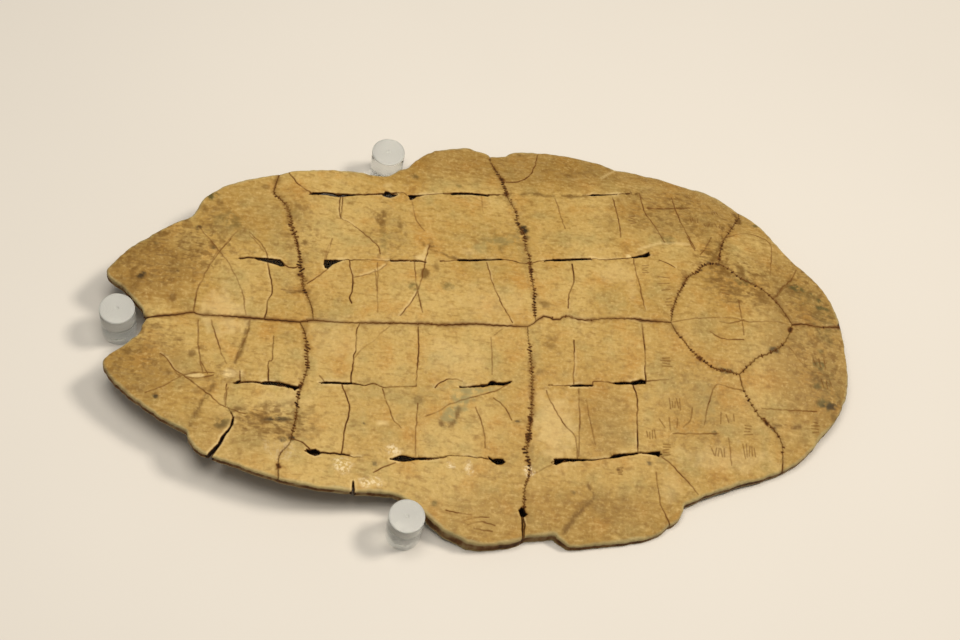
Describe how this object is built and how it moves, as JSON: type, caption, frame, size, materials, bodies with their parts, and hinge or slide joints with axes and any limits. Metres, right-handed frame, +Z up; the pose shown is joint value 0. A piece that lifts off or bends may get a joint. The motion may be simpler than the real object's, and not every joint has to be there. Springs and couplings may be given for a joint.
{
  "type": "turtle plastron oracle bone",
  "caption": "Whole turtle plastron prepared and cracked for divination, its bony plates joined at zigzag sutures, lying between clear acrylic rods.",
  "frame": {"origin": "on the surface that the bone lies on, under the middle of the whole outline", "axes": "+X along the midline to the head end, +Y to the animal's right side, +Z up out of the ventral face"},
  "size_m": [0.2532, 0.155, 0.0155],
  "materials": {
    "bone": "dry old bone, ochre, slightly polished by handling and consolidant",
    "clear_acrylic": "clear cast acrylic rod with finely turned ends"
  },
  "bodies": {
    "root": {"entoplastron": "bone", "epiplastron_left": "bone", "epiplastron_right": "bone", "hyoplastron_left": "bone", "hyoplastron_right": "bone", "hypoplastron_left": "bone", "hypoplastron_right": "bone", "xiphiplastron_left": "bone", "xiphiplastron_right": "bone", "support_peg_left": "clear_acrylic", "support_peg_right": "clear_acrylic", "support_peg_tail": "clear_acrylic"}
  },
  "joints": []
}
